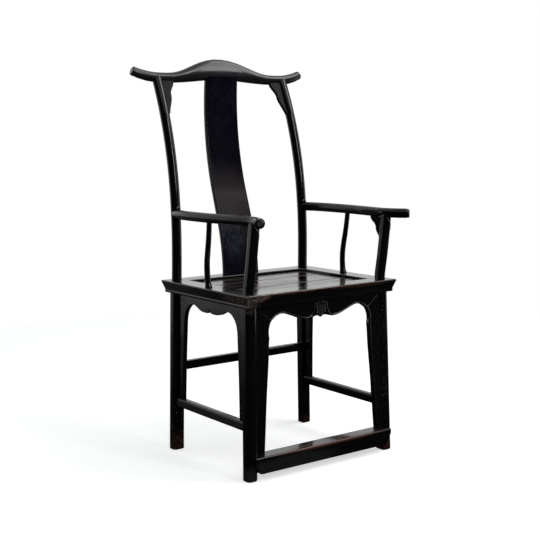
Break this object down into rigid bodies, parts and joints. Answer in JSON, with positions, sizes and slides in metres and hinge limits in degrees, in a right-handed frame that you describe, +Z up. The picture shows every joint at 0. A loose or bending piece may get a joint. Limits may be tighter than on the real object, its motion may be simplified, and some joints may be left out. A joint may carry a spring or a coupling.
{
  "type": "hat chair",
  "caption": "High yoke-back armchair of lacquered hardwood: curved splat, bowed open arms, framed plank seat, shaped aprons and stepped stretchers.",
  "frame": {"origin": "middle of the chair's width and depth, on the floor", "axes": "+X to the viewer's right when the chair is seen from the front, +Y from the front of the seat to the back, +Z up from the floor"},
  "size_m": [0.61, 0.59, 1.1388],
  "materials": {
    "black_lacquer": "glossy black lacquer, worn at the edges",
    "splat_lacquer": "black lacquer worn to reddish brown, fine upright cracks",
    "seat_lacquer": "glossy black lacquer, rubbed brown along the front edge",
    "apron_lacquer": "black lacquer over carving",
    "rail_lacquer": "dark brown lacquer, rubbed on top",
    "bare_wood": "bare wood darkened by age"
  },
  "bodies": {
    "root": {"arm_bracket_left": "black_lacquer", "arm_bracket_right": "black_lacquer", "arm_left": "black_lacquer", "arm_right": "black_lacquer", "back_splat": "splat_lacquer", "crest_bracket_left": "black_lacquer", "crest_bracket_right": "black_lacquer", "crest_rail": "black_lacquer", "footrest": "rail_lacquer", "front_apron": "apron_lacquer", "front_apron_strip_left": "apron_lacquer", "front_apron_strip_right": "apron_lacquer", "front_post_left": "black_lacquer", "front_post_right": "black_lacquer", "rear_apron": "apron_lacquer", "rear_post_left": "black_lacquer", "rear_post_right": "black_lacquer", "rear_stretcher": "rail_lacquer", "seat_batten_left": "bare_wood", "seat_batten_right": "bare_wood", "seat_board_front": "seat_lacquer", "seat_board_middle": "seat_lacquer", "seat_board_rear": "seat_lacquer", "seat_rail_front": "seat_lacquer", "seat_rail_left": "seat_lacquer", "seat_rail_rear": "seat_lacquer", "seat_rail_right": "seat_lacquer", "side_apron_left": "apron_lacquer", "side_apron_right": "apron_lacquer", "side_apron_strip_front_left": "apron_lacquer", "side_apron_strip_front_right": "apron_lacquer", "side_apron_strip_rear_left": "apron_lacquer", "side_apron_strip_rear_right": "apron_lacquer", "side_spindle_left": "black_lacquer", "side_spindle_right": "black_lacquer", "side_stretcher_left": "rail_lacquer", "side_stretcher_right": "rail_lacquer"}
  },
  "joints": []
}
